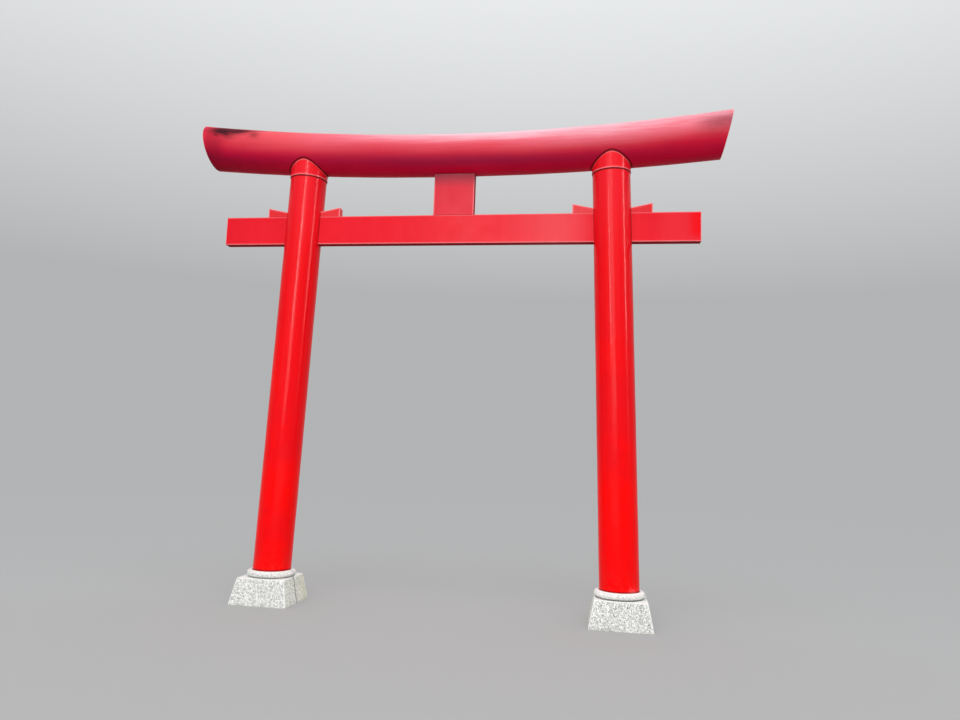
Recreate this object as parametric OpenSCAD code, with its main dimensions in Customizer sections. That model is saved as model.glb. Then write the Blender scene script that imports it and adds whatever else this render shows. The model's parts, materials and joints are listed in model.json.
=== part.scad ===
// Shrine gate of painted steel pipe on granite feet: two battered posts, a curved
// round top rail, a box-section tie beam with wedges, and a short middle strut.
// Millimetres. X runs along the gate, -Y is the front, Z is up.
// The origin is on the ground, midway between the two posts.

/* [Posts] */
// Distance between the post centres at ground level
post_spacing = 3500; // [3200:10:3900]
// Outside diameter of a post
post_d = 382; // [360:1:406]
// Wall of the post pipe
post_wall = 9; // [5:0.5:16]
// Lean of each post towards the middle, in degrees
batter = 1.8; // [0:0.1:3]

/* [Top rail] */
// Height of the rail's centre line at mid span
rail_z = 4660; // [4500:5:5300]
// Radius of the upward curve of the rail's centre line
rail_bend_r = 26000; // [22000:100:40000]
// Diameter of the rail at mid span
rail_mid_d = 440; // [430:1:460]
// Diameter of the rail at its ends
rail_end_d = 472; // [462:1:510]
// Half length of the rail along its centre line
rail_half = 2737; // [2600:1:3000]
// How far the top of each end leans out past its centre
rail_rake = 57; // [0:1:90]
// Thickness of the plate that closes each end
rail_cap = 6; // [4:1:20]

/* [Sleeves] */
// Wall of the sleeve round the top of a post
sleeve_wall = 6; // [4:0.5:14]
// Length of sleeve that shows below the rail's lowest line
sleeve_show = 60; // [20:1:120]

/* [Tie beam] */
// Height of the beam's underside
beam_z = 3700; // [3300:10:3800]
// Height of the beam's section
beam_h = 300; // [240:5:340]
// Depth of the beam's section, front to back
beam_t = 100; // [80:2:120]
// Half length of the beam
beam_half = 2490; // [2250:5:2700]
// Plate thickness of the box sections of beam and strut
box_wall = 6; // [4:0.5:12]
// Easing of the long edges of box sections
edge_ease = 4; // [1:0.5:6]

/* [Middle strut] */
// Width of the strut
strut_w = 424; // [300:2:480]
// Depth of the strut, front to back
strut_t = 96; // [70:2:100]

/* [Wedges] */
// Distance from the post's centre to a wedge's outer end
wedge_reach = 398; // [320:2:480]
// Height of a wedge at its outer end
wedge_end_h = 98; // [70:1:120]
// Height of a wedge where it meets the post
wedge_root_h = 54; // [30:1:68]
// Depth of a wedge, front to back
wedge_t = 90; // [60:2:100]

/* [Stone feet] */
// Width of the square foot at the ground
foot_base_w = 596; // [560:2:700]
// Width of the square foot at its top
foot_top_w = 492; // [488:2:550]
// Height of the square foot
foot_h = 256; // [200:1:340]
// Outside diameter of the rounded collar stone
ring_d = 486; // [450:2:488]
// Height of the rounded collar stone
ring_h = 65; // [40:1:80]
// Open joint between the front and back halves of the stones
stone_joint = 4; // [2:0.5:8]

/* [Hidden] */
LEFT = -1;
RIGHT = 1;
FRONT = -1;
BACK = 1;
paint_red = "#d81e24";
rail_red = "#c8283a";
granite = "#cfcdc6";
post_r = post_d / 2;
sleeve_r = post_r + sleeve_wall;
beam_top = beam_z + beam_h;
ring_bulge_r = ring_h / 2;
ring_mid_r = ring_d / 2 - ring_bulge_r;
// Past any face that a cut has to clear
clear = 20;
reach = 2 * foot_base_w;
rail_sides = 64;
rail_steps = 32;
round_fn = 96;

// Distance of a post's centre line from the middle, at height z
function post_x(z) = post_spacing / 2 - z * tan(batter);

// Centre height, radius and slope of the top rail at distance x from the middle
function rail_rise(x) = rail_bend_r - sqrt(rail_bend_r * rail_bend_r - x * x);
function rail_slope(x) = asin(x / rail_bend_r);
function rail_r(x) = (rail_mid_d + (rail_end_d - rail_mid_d) * pow(abs(x) / rail_half, 1.2)) / 2;
function rail_underside(x) = rail_z + rail_rise(x) - rail_r(x);

// A point on the rail's skin: u runs -1 to 1 along it, a turns round it from the top
function rail_x(u, a) = u * (rail_half + rail_rake * cos(a));
function rail_point(u, a, x) = [
    x,
    rail_r(x) * sin(a),
    rail_z + rail_rise(x) + rail_r(x) * cos(a) / cos(rail_slope(x))
];
function rail_ring(u) = [
    for (i = [0 : rail_sides - 1])
        let (a = 360 * i / rail_sides)
        rail_point(u, a, rail_x(u, a))
];
function rail_hub(u) = [u * rail_half, 0, rail_z + rail_rise(rail_half * u)];

// Stretch of the rail between stations, as one closed skin
module rail_stretch(stations) {
    n = rail_sides;
    m = len(stations);
    rings = [for (u = stations) each rail_ring(u)];
    points = concat(rings, [rail_hub(stations[0]), rail_hub(stations[m - 1])]);
    skin = [
        for (j = [0 : m - 2], i = [0 : n - 1])
            let (a = j * n + i, b = j * n + (i + 1) % n)
            each [[a, b, b + n], [a, b + n, a + n]]
    ];
    start = [for (i = [0 : n - 1]) [n * m, (i + 1) % n, i]];
    finish = [for (i = [0 : n - 1]) [n * m + 1, (m - 1) * n + i, (m - 1) * n + (i + 1) % n]];
    polyhedron(points = points, faces = concat(skin, start, finish), convexity = 4);
}

// Shares the rail's own stations, so that a cut made with it matches the rail
module rail_near(x) {
    here = round(x / rail_half * rail_steps / 2);
    span = 3;
    rail_stretch([for (k = [here - span : here + span]) 2 * k / rail_steps]);
}

module on_post_axis(side) {
    translate([side * post_spacing / 2, 0, 0])
        rotate([0, -side * batter, 0])
            children();
}

module above_ground() {
    difference() {
        children();
        translate([0, 0, -reach])
            cube([4 * post_spacing, 2 * reach, 2 * reach], center = true);
    }
}

// Section of a box bar, its corners eased
module eased_section(width, height) {
    x = width / 2;
    y = height / 2;
    e = edge_ease;
    polygon([
        [-x + e, -y], [x - e, -y], [x, -y + e], [x, y - e],
        [x - e, y], [-x + e, y], [-x, y - e], [-x, -y + e]
    ]);
}

// Stretch of the tie beam's outer shape, centred on x
module beam_stretch(x, length) {
    translate([x, 0, beam_z + beam_h / 2])
        rotate([90, 0, 90])
            linear_extrude(height = length, center = true)
                eased_section(beam_t, beam_h);
}

module pillar(side) {
    color(paint_red)
        difference() {
            above_ground()
                on_post_axis(side)
                    difference() {
                        translate([0, 0, -clear])
                            cylinder(h = rail_z, r = post_r, $fn = round_fn);
                        translate([0, 0, -2 * clear])
                            cylinder(h = rail_z + 2 * clear, r = post_r - post_wall, $fn = round_fn);
                    }
            beam_stretch(0, 2 * beam_half);
            rail_near(side * post_x(rail_z));
        }
}

// Sleeve round a post's top, cut square below and to the rail's round above
module sleeve(side) {
    lip_z = rail_underside(post_x(rail_z)) - sleeve_show;
    color(paint_red)
        difference() {
            on_post_axis(side)
                difference() {
                    translate([0, 0, lip_z])
                        cylinder(h = rail_z - lip_z, r = sleeve_r, $fn = round_fn);
                    translate([0, 0, lip_z - clear])
                        cylinder(h = rail_z, r = post_r, $fn = round_fn);
                }
            rail_near(side * post_x(rail_z));
        }
}

module kasagi() {
    color(rail_red)
        rail_stretch([for (k = [0 : rail_steps]) 2 * k / rail_steps - 1]);
}

module kasagi_cap(side) {
    u = 1 + rail_cap / rail_half;
    color(rail_red)
        rail_stretch(side == LEFT ? [-u, -1] : [1, u]);
}

module nuki() {
    color(paint_red)
        difference() {
            beam_stretch(0, 2 * (beam_half - box_wall));
            translate([0, 0, beam_z + beam_h / 2])
                cube([2 * beam_half, beam_t - 2 * box_wall, beam_h - 2 * box_wall], center = true);
        }
}

module nuki_cap(side) {
    color(paint_red)
        beam_stretch(side * (beam_half - box_wall / 2), box_wall);
}

// Box strut standing on the tie beam, its top cut to the rail's round
module gakuzuka() {
    height = rail_z - beam_top;
    color(rail_red)
        difference() {
            translate([0, 0, beam_top])
                linear_extrude(height = height)
                    eased_section(strut_w, strut_t);
            translate([0, 0, beam_top + height / 2])
                cube([strut_w - 2 * box_wall, strut_t - 2 * box_wall, height + clear], center = true);
            rail_near(0);
        }
}

// Wedge on the beam: side picks the post, way picks the face of the post it rises from
module wedge(side, way) {
    root = post_r - 2 * clear;
    slope = (wedge_end_h - wedge_root_h) / (wedge_reach - post_r);
    root_h = wedge_root_h - slope * (post_r - root);
    color(paint_red)
        difference() {
            translate([side * post_x(beam_top), 0, beam_top])
                mirror([way < 0 ? 1 : 0, 0, 0])
                    rotate([90, 0, 0])
                        linear_extrude(height = wedge_t, center = true)
                            polygon([
                                [root, 0], [wedge_reach, 0],
                                [wedge_reach, wedge_end_h], [root, root_h]
                            ]);
            on_post_axis(side)
                cylinder(h = rail_z, r = post_r, $fn = round_fn);
        }
}

// Front or back half of whatever stone it is given, split on the gate's centre plane
module stone_half(face) {
    difference() {
        children();
        translate([0, -face * (reach / 2 - stone_joint / 2), 0])
            cube([4 * post_spacing, reach, 4 * reach], center = true);
    }
}

module foot_prism() {
    b = foot_base_w / 2;
    t = foot_top_w / 2;
    rotate([90, 0, 0])
        linear_extrude(height = foot_base_w, center = true)
            polygon([[-b, 0], [b, 0], [t, foot_h], [-t, foot_h]]);
}

module foot_stone(side, face) {
    color(granite)
        stone_half(face)
            difference() {
                translate([side * post_spacing / 2, 0, 0])
                    intersection() {
                        foot_prism();
                        rotate([0, 0, 90])
                            foot_prism();
                    }
                on_post_axis(side)
                    translate([0, 0, -clear])
                        cylinder(h = foot_h + 2 * clear, r = post_r, $fn = round_fn);
            }
}

module ring_stone(side, face) {
    color(granite)
        stone_half(face)
            difference() {
                translate([side * post_x(foot_h), 0, foot_h])
                    rotate_extrude($fn = round_fn)
                        union() {
                            translate([ring_mid_r, ring_bulge_r])
                                circle(r = ring_bulge_r, $fn = round_fn / 2);
                            translate([ring_mid_r - ring_bulge_r, 0])
                                square([ring_bulge_r, ring_h]);
                        }
                on_post_axis(side)
                    cylinder(h = foot_h + ring_h + clear, r = post_r, $fn = round_fn);
            }
}

pillar(LEFT);  // left_pillar
pillar(RIGHT);  // right_pillar
sleeve(LEFT);  // left_sleeve
sleeve(RIGHT);  // right_sleeve
kasagi();
kasagi_cap(LEFT);  // left_kasagi_cap
kasagi_cap(RIGHT);  // right_kasagi_cap
nuki();
nuki_cap(LEFT);  // left_nuki_cap
nuki_cap(RIGHT);  // right_nuki_cap
gakuzuka();
wedge(LEFT, LEFT);  // left_outer_wedge
wedge(LEFT, RIGHT);  // left_inner_wedge
wedge(RIGHT, LEFT);  // right_inner_wedge
wedge(RIGHT, RIGHT);  // right_outer_wedge
foot_stone(LEFT, FRONT);  // left_front_foot_stone
foot_stone(LEFT, BACK);  // left_back_foot_stone
foot_stone(RIGHT, FRONT);  // right_front_foot_stone
foot_stone(RIGHT, BACK);  // right_back_foot_stone
ring_stone(LEFT, FRONT);  // left_front_ring_stone
ring_stone(LEFT, BACK);  // left_back_ring_stone
ring_stone(RIGHT, FRONT);  // right_front_ring_stone
ring_stone(RIGHT, BACK);  // right_back_ring_stone
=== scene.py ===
"""Looks of the torii gate: painted steel pipe and plate on split granite feet.

Metres, in the frame's own axes: X along the gate, -Y the front, Z up.
Every piece is made from the part's own driving sizes, so it lies on its CAD node.
"""

import json
import math

import bmesh
import bpy
import numpy as np
from mathutils import Matrix, Vector

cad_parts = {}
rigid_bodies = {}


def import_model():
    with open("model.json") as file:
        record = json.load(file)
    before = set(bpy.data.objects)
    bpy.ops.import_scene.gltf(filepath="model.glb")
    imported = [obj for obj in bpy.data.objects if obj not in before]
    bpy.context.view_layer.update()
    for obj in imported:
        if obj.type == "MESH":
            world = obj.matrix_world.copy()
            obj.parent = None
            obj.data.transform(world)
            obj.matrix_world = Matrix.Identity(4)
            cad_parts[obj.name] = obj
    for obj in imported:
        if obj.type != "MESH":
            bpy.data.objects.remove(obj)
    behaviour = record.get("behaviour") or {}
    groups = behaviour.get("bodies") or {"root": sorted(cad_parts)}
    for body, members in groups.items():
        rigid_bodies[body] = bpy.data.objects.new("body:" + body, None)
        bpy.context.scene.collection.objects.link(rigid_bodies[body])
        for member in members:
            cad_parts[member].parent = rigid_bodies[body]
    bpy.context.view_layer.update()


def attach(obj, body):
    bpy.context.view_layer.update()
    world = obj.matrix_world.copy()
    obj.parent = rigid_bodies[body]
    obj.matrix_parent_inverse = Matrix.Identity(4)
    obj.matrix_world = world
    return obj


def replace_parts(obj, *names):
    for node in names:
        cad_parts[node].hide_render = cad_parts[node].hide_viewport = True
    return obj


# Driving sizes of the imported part, in metres
POST_SPACING = 3.5
POST_R = 0.191
POST_WALL = 0.009
BATTER = math.radians(1.8)
RAIL_Z = 4.660
RAIL_BEND_R = 26.0
RAIL_MID_R = 0.220
RAIL_END_R = 0.236
RAIL_HALF = 2.737
RAIL_RAKE = 0.057
RAIL_CAP = 0.006
SLEEVE_R = 0.197
SLEEVE_SHOW = 0.060
BEAM_Z = 3.700
BEAM_H = 0.300
BEAM_T = 0.100
BEAM_HALF = 2.490
BOX_WALL = 0.006
STRUT_W = 0.424
STRUT_T = 0.096
WEDGE_REACH = 0.398
WEDGE_END_H = 0.098
WEDGE_ROOT_H = 0.054
WEDGE_T = 0.090
FOOT_BASE_W = 0.596
FOOT_TOP_W = 0.492
FOOT_H = 0.256
RING_R = 0.243
RING_H = 0.065
STONE_JOINT = 0.004

BEAM_TOP = BEAM_Z + BEAM_H
RING_TOP = FOOT_H + RING_H
LEFT = -1
RIGHT = 1
FRONT = -1
BACK = 1
SIDE_NAMES = {LEFT: "left", RIGHT: "right"}
FACE_NAMES = {FRONT: "front", BACK: "back"}

# Easing of edges, and how far along a face the pale band beside an edge reaches: worn edges, on paint also
# a painted highlight
PLATE_EASE = 0.004
BEAM_CAP_EASE = 0.0022
WEDGE_EASE = 0.003
SLEEVE_EASE = 0.0025
STONE_EASE = 0.004
EDGE_WEAR = 0.014

# How far the faces of the beam and the strut wander inwards
BEAM_SWAY = 0.0012
STRUT_SWAY = 0.0008

# Fine groove between the rail and its end plates, and the eased rim of those
RAIL_GROOVE = 0.0012
RAIL_CAP_RIM = 0.0022

# Sides round the meshes of the rail and of the sleeves
RAIL_SIDES = 144
SLEEVE_SIDES = 160

# Radii of the beads of weld and sealant, and their mesh
BEAM_BEAD = 0.0028
WEDGE_BEAD = 0.0022
SLEEVE_BEAD = 0.0042
STRUT_FOOT_BEAD = 0.0026
STRUT_HEAD_BEAD = 0.0032
SEAL_BEAD = 0.0036
BEAD_SIDES = 10
BEAD_STEP = 0.008
STRUT_BEAD_STEP = 0.009
SLEEVE_BEAD_PLACES = 180
SEAL_BEAD_PLACES = 200

# Mesh of the foot stones: its step, and its distances from an arris
FOOT_STEP = 0.008
STONE_NEAR = (0.0, 0.0015, 0.003, 0.005, 0.008, 0.012)

# How pale each wedge is painted: a painted sheen for the glare it catches
WEDGE_SHEEN = {
    "left_outer_wedge": 0.04,
    "left_inner_wedge": 0.065,
    "right_inner_wedge": 0.10,
    "right_outer_wedge": 0.0,
}

# Each paint's usual, deepest and most worn colour, its roughness where clean, and its shine
PAINTS = {
    "post_paint": ((0.95, 0.0006, 0.0008), (0.79, 0.0022, 0.0062), (0.90, 0.0060, 0.0065), 0.12, 0.112),
    "beam_paint": ((0.765, 0.011, 0.024), (0.725, 0.009, 0.020), (0.785, 0.020, 0.034), 0.24, 0.06),
    # The beam's underside takes a darker, matt copy of the beam's paint: painted shade
    "beam_underside_shaded": ((0.34, 0.003, 0.005), (0.30, 0.002, 0.004), (0.38, 0.006, 0.009), 0.60, 0.03),
    "wedge_paint": ((0.71, 0.010, 0.017), (0.67, 0.007, 0.014), (0.75, 0.020, 0.028), 0.28, 0.16),
    "rail_paint": ((0.64, 0.003, 0.036), (0.57, 0.002, 0.032), (0.66, 0.009, 0.043), 0.42, 0.06),
    "strut_paint": ((0.70, 0.019, 0.038), (0.64, 0.014, 0.032), (0.73, 0.035, 0.054), 0.28, 0.09),
    # The strut's side faces take a darker copy of its paint: painted shade
    "strut_side_shaded": ((0.40, 0.01, 0.02), (0.34, 0.01, 0.02), (0.5, 0.02, 0.03), 0.6, 0.02),
    # The weld beads take a dark paint that stands in for the shade in the creases they fill
    "weld_and_crease_shade": ((0.20, 0.003, 0.007), (0.12, 0.002, 0.005), (0.30, 0.008, 0.012), 0.45, 0.10),
    "lip_shadow": ((0.12, 0.001, 0.002), (0.09, 0.001, 0.002), (0.16, 0.002, 0.003), 0.7, 0.05),
}

# What weather has made of the paint, and the light and shade painted on it
# Tones of chalk on the rail's upper side, which also stand in for the sky's sheen on it: painted reflection
CHALK_SHEEN_PINK = (0.71, 0.155, 0.200)
CHALK_SHEEN_WARM = (0.72, 0.155, 0.152)
CHALK_SHEEN_PALE = (0.69, 0.46, 0.52)
# Deep tone of the painted shade along the rail's lower flanks
RAIL_FLANK_SHADE = (0.25, 0.002, 0.043)
# Pale pink of a painted sheen on the beam and the wedges
SHEEN_PALE = (0.90, 0.20, 0.22)
# Pink of a painted sheen on the upper posts
TOP_SHEEN = (0.86, 0.20, 0.36)
END_RED = (0.82, 0.0015, 0.006)
# Pale of thin paint on edges, which is also a painted highlight on eased edges
EDGE_PALE = (0.93, 0.26, 0.28)
DUST = (0.42, 0.22, 0.19)
# Near black of the sooty top, also used for painted shade on the rail
SOOT_AND_SHADE = (0.020, 0.006, 0.010)
# Dark red of the painted shadow in creases: under each sleeve's lip, round its top and at each post's foot
CREASE_SHADOW = (0.150, 0.0005, 0.002)
SHADE = (0.24, 0.02, 0.045)
SPLASH_MUD = (0.36, 0.06, 0.045)

# Middle of a pale patch on the right post, just above its ring stone
PALE_PATCH_AT = (1.864, -0.148, 0.325)

# Greys of the granite's crystals, each after the share of them that is darker
CRYSTAL_TONES = (
    (0.00, (0.45, 0.45, 0.455)),
    (0.12, (0.66, 0.66, 0.645)),
    (0.34, (0.80, 0.80, 0.78)),
    (0.70, (0.89, 0.89, 0.875)),
)

# What weather has made of the granite, and light and shade painted on it. The end tone multiplies the faces
# that look along the gate, brightening them: painted light.
RAIN_STAIN = (0.34, 0.345, 0.29)
END_FACE_LIGHT = (1.21, 1.225, 1.16)
DAMP_STAIN = (0.62, 0.60, 0.42)
# Pale of painted light on the stones' top faces
TOP_LIGHT = (0.84, 0.83, 0.82)
WORN_ARRIS = (0.88, 0.88, 0.86)
JOINT_DIRT = (0.16, 0.165, 0.14)
# Tones of the ring stones; the right one is paler as painted light
LEFT_RING = (0.76, 0.75, 0.73)
RIGHT_RING = (0.98, 0.96, 0.93)
# Dark of the painted shadow under each ring stone's nose
UNDER_RING_SHADOW = (0.10, 0.10, 0.095)
GROUND_DIRT_AND_SHADE = (0.30, 0.285, 0.24)
STONE_SHINE = 0.4

# Floor and sky
FLOOR_R = 80
FLOOR_SIDES = 96
FLOOR_PALE = (0.435, 0.435, 0.435)
FLOOR_BOUNCE = (0.25, 0.245, 0.24)
SKY_LOW = 0.46
SKY_HIGH = 1.35
SKY_FRONT = 1.00
SKY_TINT = (0.97, 0.99, 1.0)

# Each light's name, place and aim, its width and height, the radiance of its face where 1 is
# white, and whether gloss shows it, matt faces take it and the floor takes it
PANELS = (
    ("front_glow", (0.1, -13.0, 6.2), (0.1, 0, 6.2), 4.2, 8.0, 3.9, True, True, False),
    ("front_core", (-1.1, -7.0, 5.4), (-1.65, 0, 4.0), 0.30, 3.4, 37.0, True, False, True),
    ("front_core_low", (-1.1, -7.0, 3.0), (-1.65, 0, 2.5), 0.45, 1.8, 4.2, True, False, True),
    ("right_strip", (9.8, -2.6, 6.6), (0, 0, 4.4), 0.45, 4.4, 32.0, True, False, True),
    ("right_strip_low", (9.8, -2.6, 3.2), (0, 0, 2.8), 0.45, 2.4, 4.2, True, False, True),
    ("overhead", (0.6, -4.0, 11.0), (0, 0, 4.0), 7.0, 5.0, 1.6, True, True, True),
    ("left_fill", (-6.0, -11.0, 4.0), (0, 0, 2.0), 9.0, 5.0, 1.7, False, True, False),
    ("right_fill", (10.5, -4.0, 7.0), (0, 0, 2.5), 6.0, 6.0, 2.1, False, True, False),
    ("low_fill", (0.1, -3.6, 0.9), (0.1, 0, 0.9), 4.0, 1.0, 2.15, False, True, False),
    ("back_fill", (0.0, 11.0, 4.5), (0, 0, 2.5), 10.0, 6.0, 1.7, False, True, False),
)

# Camera, from the fit of the gate to the photograph
CAMERA_AT = (1.4937, -7.4920, 1.5754)
CAMERA_YAW = math.radians(-8.844)
CAMERA_PITCH = math.radians(6.924)
CAMERA_ROLL = math.radians(2.000)
CAMERA_LENS = 28.32
SENSOR_WIDTH = 36.0


# Small tools


def smooth(low, high, value):
    """0 below low, 1 above high, with a soft turn between them."""
    t = np.clip((value - low) / (high - low), 0, 1)
    return t * t * (3 - 2 * t)


def noise(points, wavelength, seed, stretch=(1, 1, 1)):
    """Smooth noise from -1 to 1 at each point, the same in every run."""
    p = points * np.array(stretch) / wavelength + 17.3 * seed
    cell = np.floor(p).astype(np.int64)
    f = p - cell
    f = f * f * (3 - 2 * f)
    total = np.zeros(len(points))
    for corner in range(8):
        step = np.array([corner & 1, corner >> 1 & 1, corner >> 2 & 1])
        c = cell + step
        h = (c[:, 0] * 73856093) ^ (c[:, 1] * 19349663) ^ (c[:, 2] * 83492791)
        h = (h ^ (h >> 13)) * 1274126177 & 0x7FFFFFFF
        value = (h >> 7) % 65536 / 32767.5 - 1
        weight = np.prod(np.where(step == 1, f, 1 - f), axis=1)
        total += weight * value
    return total


def full_turn(count):
    """That many even angles round a circle."""
    return np.linspace(0, 2 * np.pi, count, endpoint=False)


def stations(length, step, near):
    """Places from 0 to 1 along a length: those near each end, and even steps between."""
    near = [d for d in near if d < length / 2]
    start = max(near) if near else 0
    count = max(1, round((length - 2 * start) / step))
    middle = np.linspace(start, length - start, count + 1)
    ends = [d for d in near if d < start]
    places = np.concatenate([ends, middle, [length - d for d in reversed(ends)]])
    return places / length


def eased_ends(ease):
    """Distances from an edge that turn a rounding of that radius in equal steps."""
    angles = np.radians([45, 30, 15, 0])
    return [float(d) for d in ease * (1 - np.tan(angles))] + [EDGE_WEAR]


# Meshes


def grid_quads(rows, cols, closed):
    """Corner numbers of the quads in a grid of points, row by row."""
    r, c = np.meshgrid(np.arange(rows - 1), np.arange(cols if closed else cols - 1), indexing="ij")
    after = (c + 1) % cols
    quads = np.stack([r * cols + c, r * cols + after, (r + 1) * cols + after, (r + 1) * cols + c], -1)
    return quads.reshape(-1, 4)


def join_patches(patches):
    """One set of points and faces from (grid of points, closed) patches that share borders."""
    points = []
    faces = []
    count = 0
    for grid, closed in patches:
        rows, cols = grid.shape[:2]
        points.append(grid.reshape(-1, 3))
        faces.append(grid_quads(rows, cols, closed) + count)
        count += rows * cols
    points = np.concatenate(points)
    faces = np.concatenate(faces)
    keys = np.round(points * 1e7).astype(np.int64)
    _, first, where = np.unique(keys, axis=0, return_index=True, return_inverse=True)
    return points[first], where.reshape(-1)[faces]


def box_patches(place, *cuts):
    """The six sides of a block whose points are place(s, t, w), each from 0 to 1."""
    patches = []
    for end in (0.0, 1.0):
        for fixed in (2, 1, 0):
            a, b = np.meshgrid(*(cut for k, cut in enumerate(cuts) if k != fixed), indexing="ij")
            where = [a, b]
            where.insert(fixed, np.full_like(a, end))
            patches.append((place(*where), False))
    return patches


def plane_depths(points, planes):
    """How deep each point lies behind each plane, given as (point, inward normal)."""
    return np.stack([(points - np.array(at)) @ np.array(n) for at, n in planes], axis=1)


def ease_edges(points, planes, radius):
    """Rounds the edges between planes, given as (point, inward normal).

    Returns the moved points, and how near each is to an edge, from 0 to 1.
    """
    depths = plane_depths(points, planes)
    radius = np.broadcast_to(radius, (len(points),))
    short = np.clip(radius[:, None] - depths, 0, radius[:, None])
    inward = short @ np.array([n for _, n in planes])
    length = np.linalg.norm(inward, axis=1)
    push = np.where(length > 1e-9, radius / np.maximum(length, 1e-9), 0)
    near = np.sort(depths, axis=1)[:, 1]
    return points + inward - inward * push[:, None], 1 - np.clip(near / EDGE_WEAR, 0, 1)


def eased_box(place, lengths, steps, planes, ease, blunt=()):
    """A block of points place(s, t, w), cut in steps along its lengths, with its edges eased.

    blunt names the lengths, by number, whose ends have no eased edge. Returns its points before
    and after easing, its faces, and how near each point is to an edge.
    """
    near = eased_ends(ease)
    cuts = [
        stations(length, step, () if k in blunt else near)
        for k, (length, step) in enumerate(zip(lengths, steps))
    ]
    points, faces = join_patches(box_patches(place, *cuts))
    moved, edge = ease_edges(points, planes, ease)
    return points, moved, faces, edge


def link(name, data):
    """A new object of the scene with that mesh, light or camera."""
    obj = bpy.data.objects.new(name, data)
    bpy.context.scene.collection.objects.link(obj)
    return obj


def add_piece(name, points, faces, material, slot, sharp=40, marks=None, extra=None):
    """A mesh object that rides on the frame. marks are named values per point, for its material.

    extra is (second material, faces that take it).
    """
    mesh = bpy.data.meshes.new(name)
    mesh.from_pydata(np.asarray(points).tolist(), [], [list(map(int, f)) for f in faces])
    bm = bmesh.new()
    bm.from_mesh(mesh)
    bmesh.ops.recalc_face_normals(bm, faces=bm.faces)
    bm.to_mesh(mesh)
    bm.free()
    mesh.shade_smooth()
    mesh.set_sharp_from_angle(angle=math.radians(sharp))
    for key, values in (marks or {}).items():
        layer = mesh.attributes.new(key, "FLOAT", "POINT")
        layer.data.foreach_set("value", np.asarray(values, np.float32))
    mesh.materials.append(material)
    if extra:
        mesh.materials.append(extra[0])
        index = np.zeros(len(mesh.polygons), np.int32)
        index[extra[1]] = 1
        mesh.polygons.foreach_set("material_index", index)
    obj = link(name, mesh)
    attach(obj, "root")
    return obj


def dress(node, *piece, **more):
    """A piece, as add_piece takes it, that stands for a CAD node."""
    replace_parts(add_piece(node + "_finish", *piece, **more), node)


def bead(path, centre, radius, closed, seed):
    """A lumpy bead of weld or sealant along a path, as one patch. centre is what it bends round."""
    path = np.asarray(path, float)
    if closed:
        ahead = np.roll(path, -1, axis=0) - np.roll(path, 1, axis=0)
    else:
        ahead = np.gradient(path, axis=0)
    ahead /= np.linalg.norm(ahead, axis=1)[:, None]
    out = path - np.asarray(centre)
    out -= (out * ahead).sum(1)[:, None] * ahead
    out /= np.linalg.norm(out, axis=1)[:, None]
    up = np.cross(ahead, out)
    lumps = 0.16 * noise(path, 0.012, seed) + 0.08 * noise(path, 0.05, seed + 1)
    swell = radius * (1 + lumps)
    if not closed:
        swell[[0, -1]] *= 0.3
    turn = full_turn(BEAD_SIDES)[None, :, None]
    tube = path[:, None] + swell[:, None, None] * (np.cos(turn) * out[:, None] + np.sin(turn) * up[:, None])
    if closed:
        tube = np.concatenate([tube, tube[:1]])
    return tube, True


def even_path(corners, step, closed):
    """Points at about even steps along straight runs between corners."""
    corners = [np.array(c, float) for c in corners]
    ends = corners[1:] + corners[:1] if closed else corners[1:]
    path = []
    for a, b in zip(corners, ends):
        count = max(1, round(np.linalg.norm(b - a) / step))
        path.extend(a + (b - a) * k / count for k in range(count))
    if not closed:
        path.append(corners[-1])
    return np.array(path)


# Forms of the part


def post_x(z):
    """How far the axis of a post is from mid span, at a height."""
    return POST_SPACING / 2 - z * math.tan(BATTER)


def rail_rise(x):
    """How far the bent axis of the rail has risen at x."""
    return RAIL_BEND_R - np.sqrt(RAIL_BEND_R**2 - x**2)


def rail_cos(x):
    """Cosine of the slope of the rail's axis at x."""
    return np.sqrt(1 - (x / RAIL_BEND_R) ** 2)


def rail_radius(x):
    return RAIL_MID_R + (RAIL_END_R - RAIL_MID_R) * (np.abs(x) / RAIL_HALF) ** 1.2


def rail_underside(x, y):
    r = rail_radius(x)
    return RAIL_Z + rail_rise(x) - np.sqrt(np.maximum(r**2 - y**2, 0)) / rail_cos(x)


def rail_skin(u, a, share):
    """Point of the rail: u from -1 to 1 along it, a round it from the top, share of its radius."""
    x = u * (RAIL_HALF + RAIL_RAKE * np.cos(a) * share)
    r = rail_radius(u * (RAIL_HALF + RAIL_RAKE * np.cos(a))) * share
    wave = np.sin(3.1 * x + 2 * a) + np.sin(7.3 * x - 3 * a + 1.0) + np.sin(12.7 * x + 1.7)
    r = r - 0.0003 * (3 + wave) * (1 - smooth(0.97, 0.99, np.abs(u)))
    z = RAIL_Z + rail_rise(x) + r * np.cos(a) / rail_cos(x)
    return np.stack([x, r * np.sin(a), z], -1)


def rail_rings(rings):
    """Points and faces of the rail's skin, from rings given as (place along it, share of radius)."""
    a = full_turn(RAIL_SIDES)
    grid = np.array([rail_skin(np.full_like(a, u), a, share) for u, share in rings])
    faces = grid_quads(len(rings), RAIL_SIDES, True).tolist()
    for row in (0, len(rings) - 1):
        faces.append(list(range(row * RAIL_SIDES, (row + 1) * RAIL_SIDES)))
    return grid.reshape(-1, 3), faces


def on_post(side, turn, radius, along):
    """Point at an angle round a post's axis (0 is +X), at a radius, and along its lean."""
    x = side * (POST_SPACING / 2 - along * math.sin(BATTER)) + radius * np.cos(turn) * math.cos(BATTER)
    z = along * math.cos(BATTER) + side * radius * np.cos(turn) * math.sin(BATTER)
    return np.stack([x, radius * np.sin(turn) + 0 * along, z + 0 * turn], -1)


def along_at_height(side, turn, radius, z):
    return (z - side * radius * np.cos(turn) * math.sin(BATTER)) / math.cos(BATTER)


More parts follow.
